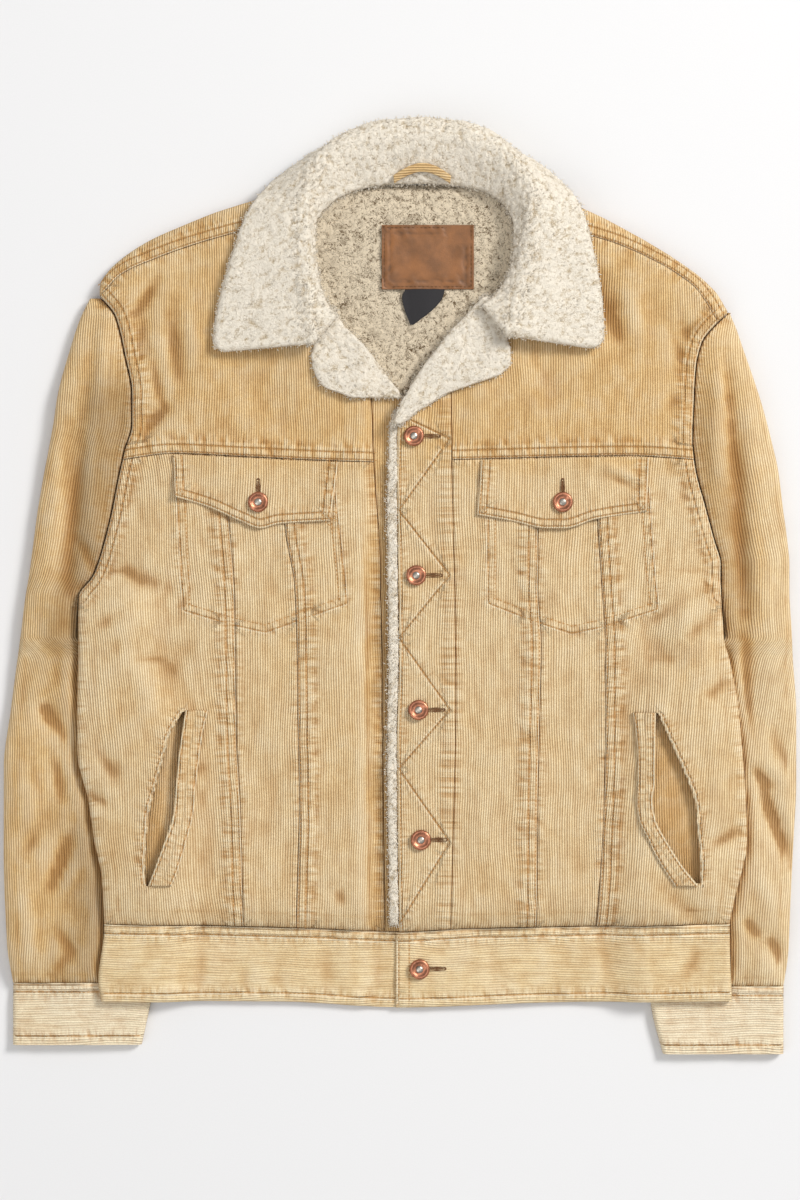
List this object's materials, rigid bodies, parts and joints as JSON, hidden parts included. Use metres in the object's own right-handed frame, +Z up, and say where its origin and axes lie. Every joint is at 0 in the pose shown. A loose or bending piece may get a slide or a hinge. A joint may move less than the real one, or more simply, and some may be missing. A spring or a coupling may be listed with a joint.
{
  "type": "sherpa lined corduroy jacket",
  "caption": "Buttoned corduroy trucker jacket with a sherpa collar and lining, chest flaps and slanted hand pockets, laid flat.",
  "frame": {"origin": "centre of the jacket's bounding box in plan, on the surface it lies on", "axes": "+Z up from the surface, out of the jacket's front; +Y towards the collar; +X towards the wearer's left"},
  "size_m": [0.6876, 0.8098, 0.0439],
  "materials": {
    "corduroy": "fine-ribbed cotton corduroy",
    "corduroy_band": "fine-ribbed cotton corduroy, cut across",
    "sherpa": "curly cream pile",
    "leather": "matte brown",
    "label": "woven black satin",
    "copper": "satin copper plate",
    "nickel": "satin",
    "thread": "topstitching thread"
  },
  "bodies": {
    "root": {"back_panel": "corduroy", "back_yoke": "corduroy", "button_1": "copper", "button_2": "copper", "button_3": "copper", "button_4": "copper", "button_band": "copper", "button_flap_left": "copper", "button_flap_right": "copper", "care_label": "label", "collar": "sherpa", "cuff_left_under": "corduroy_band", "cuff_left_upper": "corduroy_band", "cuff_right_under": "corduroy_band", "cuff_right_upper": "corduroy_band", "flap_left": "corduroy", "flap_right": "corduroy", "front_centre_left": "corduroy", "front_centre_right": "corduroy", "front_middle_left": "corduroy", "front_middle_right": "corduroy", "front_side_left": "corduroy", "front_side_right": "corduroy", "front_yoke_left": "corduroy", "front_yoke_right": "corduroy", "hanger_loop": "corduroy", "lapel_left": "sherpa", "lapel_right": "sherpa", "neck_lining": "sherpa", "neck_patch": "leather", "pile_edge": "sherpa", "placket_left": "corduroy", "placket_right": "corduroy", "pocket_bag_left": "corduroy", "pocket_bag_right": "corduroy", "sleeve_left_under": "corduroy", "sleeve_left_upper": "corduroy", "sleeve_right_under": "corduroy", "sleeve_right_upper": "corduroy", "waistband_back": "corduroy_band", "waistband_left": "corduroy_band", "waistband_right": "corduroy_band", "welt_left": "corduroy", "welt_right": "corduroy"}
  },
  "joints": []
}
